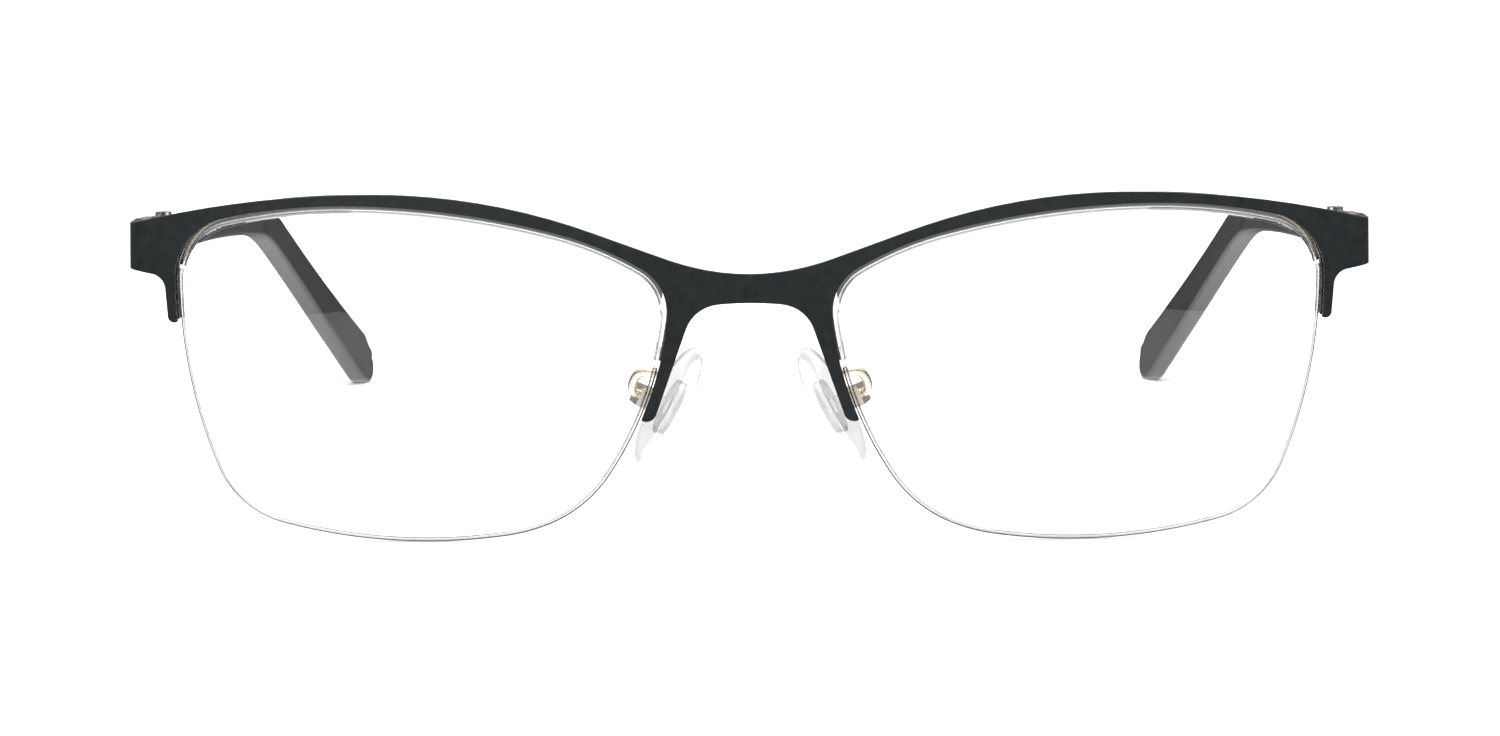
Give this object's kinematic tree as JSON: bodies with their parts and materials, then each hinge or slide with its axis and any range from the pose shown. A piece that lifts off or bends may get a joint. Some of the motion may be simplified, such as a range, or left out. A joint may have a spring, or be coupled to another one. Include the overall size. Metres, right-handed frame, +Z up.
{
  "type": "half rim eyeglasses",
  "caption": "Half rim eyeglasses with a black brow plate, clear lenses held by a nylon cord, rocking clear nose pads and folding black temples.",
  "frame": {"origin": "centre of the bounding box of the open glasses, on the table under the lenses and the temple tips", "axes": "+X to the right seen from the front, +Y back along the open temples, +Z up"},
  "size_m": [0.135, 0.1506, 0.0378],
  "materials": {
    "black_paint": "semi-matte",
    "black_acetate": "satin gloss",
    "champagne_metal": "satin nickel with a champagne tint",
    "screw_steel": "bright",
    "clear_nylon": "milky clear",
    "clear_lens": "polished",
    "clear_silicone": "soft clear",
    "clear_core": "clear"
  },
  "bodies": {
    "front": {"front_plate": "black_paint", "rim_channel_left": "champagne_metal", "rim_channel_right": "champagne_metal", "hinge_front_left": "champagne_metal", "hinge_front_right": "champagne_metal", "hinge_screw_left": "screw_steel", "hinge_screw_right": "screw_steel", "pad_arm_left": "champagne_metal", "pad_arm_right": "champagne_metal", "pad_box_left": "champagne_metal", "pad_box_right": "champagne_metal", "pad_screw_left": "screw_steel", "pad_screw_right": "screw_steel", "rim_liner_left": "clear_nylon", "rim_liner_right": "clear_nylon", "nylon_cord_left": "clear_nylon", "nylon_cord_right": "clear_nylon", "lens_left": "clear_lens", "lens_right": "clear_lens"},
    "temple_left": {"temple_left": "black_acetate", "hinge_temple_left": "champagne_metal"},
    "temple_right": {"temple_right": "black_acetate", "hinge_temple_right": "champagne_metal"},
    "nose_pad_left": {"nose_pad_left": "clear_silicone", "pad_core_left": "clear_core"},
    "nose_pad_right": {"nose_pad_right": "clear_silicone", "pad_core_right": "clear_core"}
  },
  "joints": [
    {"name": "temple_left_fold", "type": "hinge", "parent": "front", "child": "temple_left", "pos_m": [-0.0645, -0.0612, 0.0322], "axis": [0, 0, -1], "range_deg": [0, 87]},
    {"name": "temple_right_fold", "type": "hinge", "parent": "front", "child": "temple_right", "pos_m": [0.0645, -0.0612, 0.0322], "axis": [0, 0, 1], "range_deg": [0, 78]},
    {"name": "nose_pad_left_rock", "type": "hinge", "parent": "front", "child": "nose_pad_left", "pos_m": [-0.01136, -0.06766, 0.01511], "axis": [0.3338, -0.9272, -0.1701], "range_deg": [-8, 8]},
    {"name": "nose_pad_right_rock", "type": "hinge", "parent": "front", "child": "nose_pad_right", "pos_m": [0.01136, -0.06766, 0.01511], "axis": [-0.3338, -0.9272, -0.1701], "range_deg": [-8, 8]}
  ]
}
